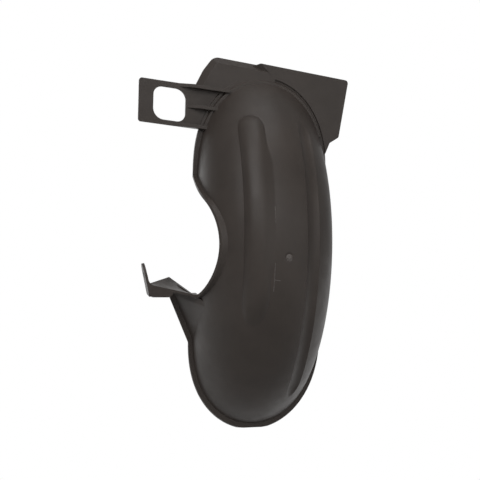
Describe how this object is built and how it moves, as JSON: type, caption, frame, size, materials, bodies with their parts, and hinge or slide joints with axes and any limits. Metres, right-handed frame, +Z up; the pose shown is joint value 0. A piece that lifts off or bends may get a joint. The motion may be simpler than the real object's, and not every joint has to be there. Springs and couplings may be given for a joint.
{
  "type": "motorcycle rear mudguard",
  "caption": "Moulded inner rear mudguard: a curved trough with a raised bead, an arm with a window, a flat plate and a side bracket.",
  "frame": {"origin": "centre of the bolt hole in the bracket's tab", "axes": "+X to the right as the picture shows it, +Y from the crown of the trough towards the wheel's axle, +Z up"},
  "size_m": [0.2239, 0.1128, 0.3907],
  "materials": {
    "body": "satin, fine moulded grain"
  },
  "bodies": {
    "root": {"mudguard": "body"}
  },
  "joints": []
}
